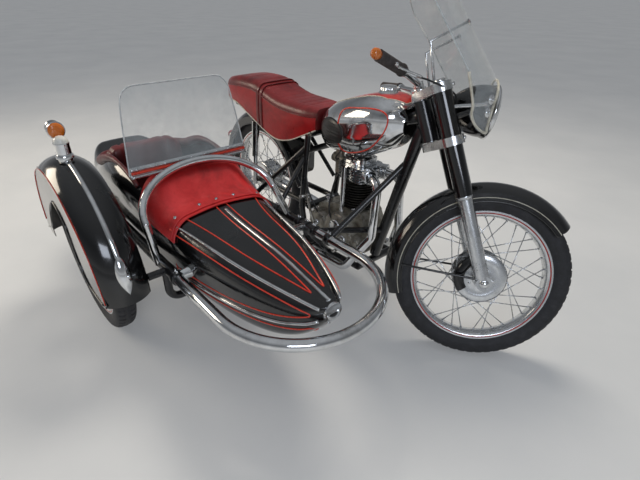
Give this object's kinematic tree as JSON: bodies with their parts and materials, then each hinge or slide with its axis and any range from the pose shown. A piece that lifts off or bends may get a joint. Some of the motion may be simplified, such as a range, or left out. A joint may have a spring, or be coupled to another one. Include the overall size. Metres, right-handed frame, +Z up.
{
  "type": "sidecar motorcycle",
  "caption": "Motorcycle with a bullet-shaped sidecar on its right side: steered front fork, free-turning wheels, open cockpit with apron and screens.",
  "frame": {"origin": "on the ground, at the middle of the outfit's footprint", "axes": "+X forward along the motorcycle, +Y to the rider's left, +Z up; the sidecar is on the -Y side"},
  "size_m": [2.1006, 1.432, 1.3374],
  "materials": {
    "black_enamel": "gloss black enamel",
    "cast_alloy": "aged cast aluminium",
    "cast_iron": "black cast iron fins",
    "chrome": "bright chromium plate",
    "clear_sheet": "clear acrylic sheet",
    "grip_rubber": "matt black rubber",
    "polished_alloy": "polished cast aluminium",
    "red_vinyl": "red coated cloth",
    "seat_hide": "oxblood leather",
    "tyre_rubber": "moulded black rubber with tread",
    "wheel_alloy": "polished alloy rim and hub with plated spokes"
  },
  "bodies": {
    "chassis": {"apron": "red_vinyl", "barrel": "cast_iron", "body_mounts": "chrome", "carburettor": "cast_alloy", "chassis_hoop": "chrome", "chassis_tubes": "black_enamel", "crankcase": "cast_alloy", "cylinder_head": "cast_alloy", "dual_seat": "seat_hide", "exhaust": "chrome", "filler_cap": "chrome", "foot_controls": "chrome", "frame_cradle": "black_enamel", "frame_head": "black_enamel", "frame_spine": "black_enamel", "frame_subframe": "black_enamel", "fuel_tank": "chrome", "grab_arch": "chrome", "knee_pads": "grip_rubber", "mudguard_lamps": "polished_alloy", "nose_ring": "chrome", "pushrod_tube": "chrome", "rear_mudguard": "black_enamel", "rear_shocks": "chrome", "screen_base": "polished_alloy", "side_mudguard": "black_enamel", "sidecar_body": "black_enamel", "sidecar_seat": "seat_hide", "struts": "black_enamel", "swing_arm": "black_enamel", "tool_box": "black_enamel", "wheel_carrier": "black_enamel", "windscreen": "clear_sheet"},
    "fork": {"fork_yokes": "polished_alloy", "fork_covers": "black_enamel", "fork_sliders": "polished_alloy", "front_mudguard": "black_enamel", "headlamp": "black_enamel", "handlebar": "chrome", "bar_controls": "grip_rubber", "bar_screen": "clear_sheet", "screen_bracket": "polished_alloy"},
    "front_wheel": {"front_tyre": "tyre_rubber", "front_wheel": "wheel_alloy"},
    "rear_wheel": {"rear_tyre": "tyre_rubber", "rear_wheel": "wheel_alloy"},
    "sidecar_wheel": {"sidecar_tyre": "tyre_rubber", "sidecar_wheel": "wheel_alloy"},
    "stand": {"centre_stand": "black_enamel"}
  },
  "joints": [
    {"name": "steering", "type": "hinge", "parent": "chassis", "child": "fork", "pos_m": [0.73626, 0.42899, 0.29207], "axis": [-0.454, 0, 0.891], "range_deg": [-82, 0]},
    {"name": "front_wheel_spin", "type": "hinge", "parent": "fork", "child": "front_wheel", "pos_m": [0.77661, 0.46836, 0.31262], "axis": [-0.5846, 0.7547, -0.2978], "continuous": true},
    {"name": "rear_wheel_spin", "type": "hinge", "parent": "chassis", "child": "rear_wheel", "pos_m": [-0.55027, 0.42899, 0.325], "axis": [0, 1, 0], "continuous": true},
    {"name": "sidecar_wheel_spin", "type": "hinge", "parent": "chassis", "child": "sidecar_wheel", "pos_m": [-0.30427, -0.63601, 0.325], "axis": [0, 1, 0], "continuous": true},
    {"name": "stand_fold", "type": "hinge", "parent": "chassis", "child": "stand", "pos_m": [-0.04527, 0.42899, 0.122], "axis": [0, -1, 0], "range_deg": [0, 75]}
  ]
}
